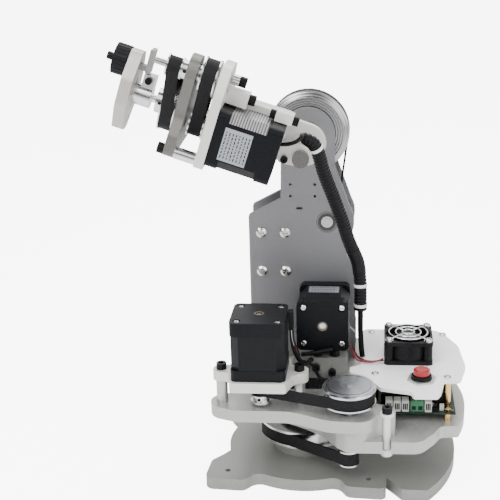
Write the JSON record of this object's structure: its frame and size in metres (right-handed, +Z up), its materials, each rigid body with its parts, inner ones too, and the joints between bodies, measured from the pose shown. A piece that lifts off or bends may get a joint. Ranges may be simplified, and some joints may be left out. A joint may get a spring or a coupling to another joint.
{
  "type": "belt-driven desktop robot arm",
  "caption": "Desktop robot arm on a turning deck: belt-driven yaw base, plate tower with a pitching forearm, and a rolling tool plate with a thumb knob.",
  "frame": {"origin": "on the yaw axis, at the underside of the base plate", "axes": "+Z up, -X along the forearm's reach, -Y towards the side that the roll and yaw motors stand on"},
  "size_m": [0.2787, 0.1679, 0.3459],
  "materials": {
    "plate_grey": "bead-blasted, clear anodised",
    "plate_light": "light satin",
    "cover_white": "satin near-white",
    "turned_metal": "turned, bright",
    "shaft_steel": "ground",
    "bearing_steel": "ground",
    "screw_steel": "nickel plated",
    "bolt_black": "black oxide",
    "motor_black": "satin black",
    "lamination": "stacked laminations",
    "belt_rubber": "matt",
    "board_green": "solder mask",
    "connector_plastic": "moulded",
    "fan_plastic": "moulded black",
    "button_red": "gloss red"
  },
  "bodies": {
    "base": {"base_plate": "plate_grey", "base_hub": "plate_light", "base_pulley": "turned_metal", "yaw_bearings": "bearing_steel", "base_screws": "screw_steel"},
    "turntable": {"lower_plate": "plate_grey", "middle_plate": "plate_grey", "upper_plate": "plate_grey", "yaw_spindle": "shaft_steel", "yaw_motor_plate": "plate_light", "standoffs": "turned_metal", "cap_bolts": "bolt_black", "tower_foot": "plate_grey", "tower_near_plate": "plate_grey", "tower_far_plate": "plate_grey", "shaft_bearings": "bearing_steel", "pan_screws": "screw_steel", "yaw_motor_caps": "motor_black", "yaw_motor_stator": "motor_black", "pitch_motor_caps": "motor_black", "pitch_motor_stator": "motor_black", "yaw_belt_first": "belt_rubber", "yaw_belt_second": "belt_rubber", "pitch_belt_first": "belt_rubber", "pitch_belt_second": "belt_rubber", "electronics_cover": "cover_white", "cover_hardware": "screw_steel", "circuit_board": "board_green", "board_connectors": "connector_plastic", "fan_frame": "fan_plastic", "fan_guard": "shaft_steel", "button_bezel": "fan_plastic", "cable_hose": "belt_rubber"},
    "yaw_motor_rotor": {"yaw_motor_shaft": "shaft_steel"},
    "yaw_counter": {"yaw_countershaft": "turned_metal", "yaw_wheel": "turned_metal"},
    "pitch_motor_rotor": {"pitch_motor_shaft": "shaft_steel"},
    "pitch_lay": {"pitch_layshaft": "shaft_steel", "pitch_layshaft_pulleys": "turned_metal"},
    "forearm": {"pitch_wheel": "turned_metal", "pitch_shaft": "shaft_steel", "forearm_bracket": "plate_light", "bracket_bolts": "bolt_black", "wrist_rear_plate": "plate_light", "wrist_front_plate": "plate_grey", "wrist_standoffs": "turned_metal", "wrist_bolts": "bolt_black", "roll_motor_caps": "motor_black", "roll_motor_stator": "lamination", "roll_belt_first": "belt_rubber", "roll_belt_second": "belt_rubber", "wrist_bearings": "bearing_steel"},
    "roll_motor_rotor": {"roll_motor_shaft": "shaft_steel"},
    "roll_lay": {"roll_layshaft": "turned_metal"},
    "tool": {"roll_shaft": "turned_metal", "tool_clamp": "turned_metal", "tool_plate": "plate_light"},
    "knob": {"thumb_knob": "fan_plastic"},
    "fan": {"fan_rotor": "fan_plastic"},
    "button": {"push_button": "button_red"}
  },
  "joints": [
    {"name": "base_yaw", "type": "hinge", "parent": "base", "child": "turntable", "pos_m": [0, 0, 0.04], "axis": [0, 0, 1], "range_deg": [-165, 165]},
    {"name": "yaw_counter_spin", "type": "hinge", "parent": "turntable", "child": "yaw_counter", "pos_m": [0.037, -0.059, 0.05], "axis": [0, 0, 1], "range_deg": [-863, 863]},
    {"name": "yaw_motor_spin", "type": "hinge", "parent": "turntable", "child": "yaw_motor_rotor", "pos_m": [-0.0324, -0.049, 0.09], "axis": [0, 0, 1], "range_deg": [-2580, 2580]},
    {"name": "forearm_pitch", "type": "hinge", "parent": "turntable", "child": "forearm", "pos_m": [0.0006, 0, 0.265], "axis": [0, 1, 0], "range_deg": [-60, 55]},
    {"name": "pitch_lay_spin", "type": "hinge", "parent": "turntable", "child": "pitch_lay", "pos_m": [0.016, 0.06, 0.1913], "axis": [0, 1, 0], "range_deg": [-277, 255]},
    {"name": "pitch_motor_spin", "type": "hinge", "parent": "turntable", "child": "pitch_motor_rotor", "pos_m": [0.0142, 0.04, 0.1177], "axis": [0, 1, 0], "range_deg": [-821, 753]},
    {"name": "tool_roll", "type": "hinge", "parent": "forearm", "child": "tool", "pos_m": [-0.09423, -0.007, 0.29673], "axis": [-0.9483, 0, 0.3173], "range_deg": [-175, 175]},
    {"name": "roll_lay_spin", "type": "hinge", "parent": "forearm", "child": "roll_lay", "pos_m": [-0.08233, -0.05, 0.33229], "axis": [-0.9483, 0, 0.3173], "range_deg": [-530, 530]},
    {"name": "roll_motor_spin", "type": "hinge", "parent": "forearm", "child": "roll_motor_rotor", "pos_m": [-0.0563, -0.0465, 0.28404], "axis": [-0.9483, 0, 0.3173], "range_deg": [-1055, 1055]},
    {"name": "knob_turn", "type": "hinge", "parent": "tool", "child": "knob", "pos_m": [-0.13024, -0.007, 0.33092], "axis": [-0.9483, 0, 0.3173], "continuous": true},
    {"name": "fan_spin", "type": "hinge", "parent": "turntable", "child": "fan", "pos_m": [0.0843, 0.0193, 0.09], "axis": [0, 0, 1], "continuous": true},
    {"name": "button_press", "type": "slide", "parent": "turntable", "child": "button", "axis": [0, 0, -1], "range_m": [0, 0.002], "stiffness_N_per_m": 400, "springref_m": -0.001}
  ],
  "couplings": [
    {"joint": "yaw_counter_spin", "follows": "base_yaw", "ratio": -5.2},
    {"joint": "yaw_motor_spin", "follows": "base_yaw", "ratio": -15.6},
    {"joint": "pitch_lay_spin", "follows": "forearm_pitch", "ratio": 4.5333},
    {"joint": "pitch_motor_spin", "follows": "forearm_pitch", "ratio": 13.6},
    {"joint": "roll_lay_spin", "follows": "tool_roll", "ratio": 3},
    {"joint": "roll_motor_spin", "follows": "tool_roll", "ratio": 6}
  ]
}
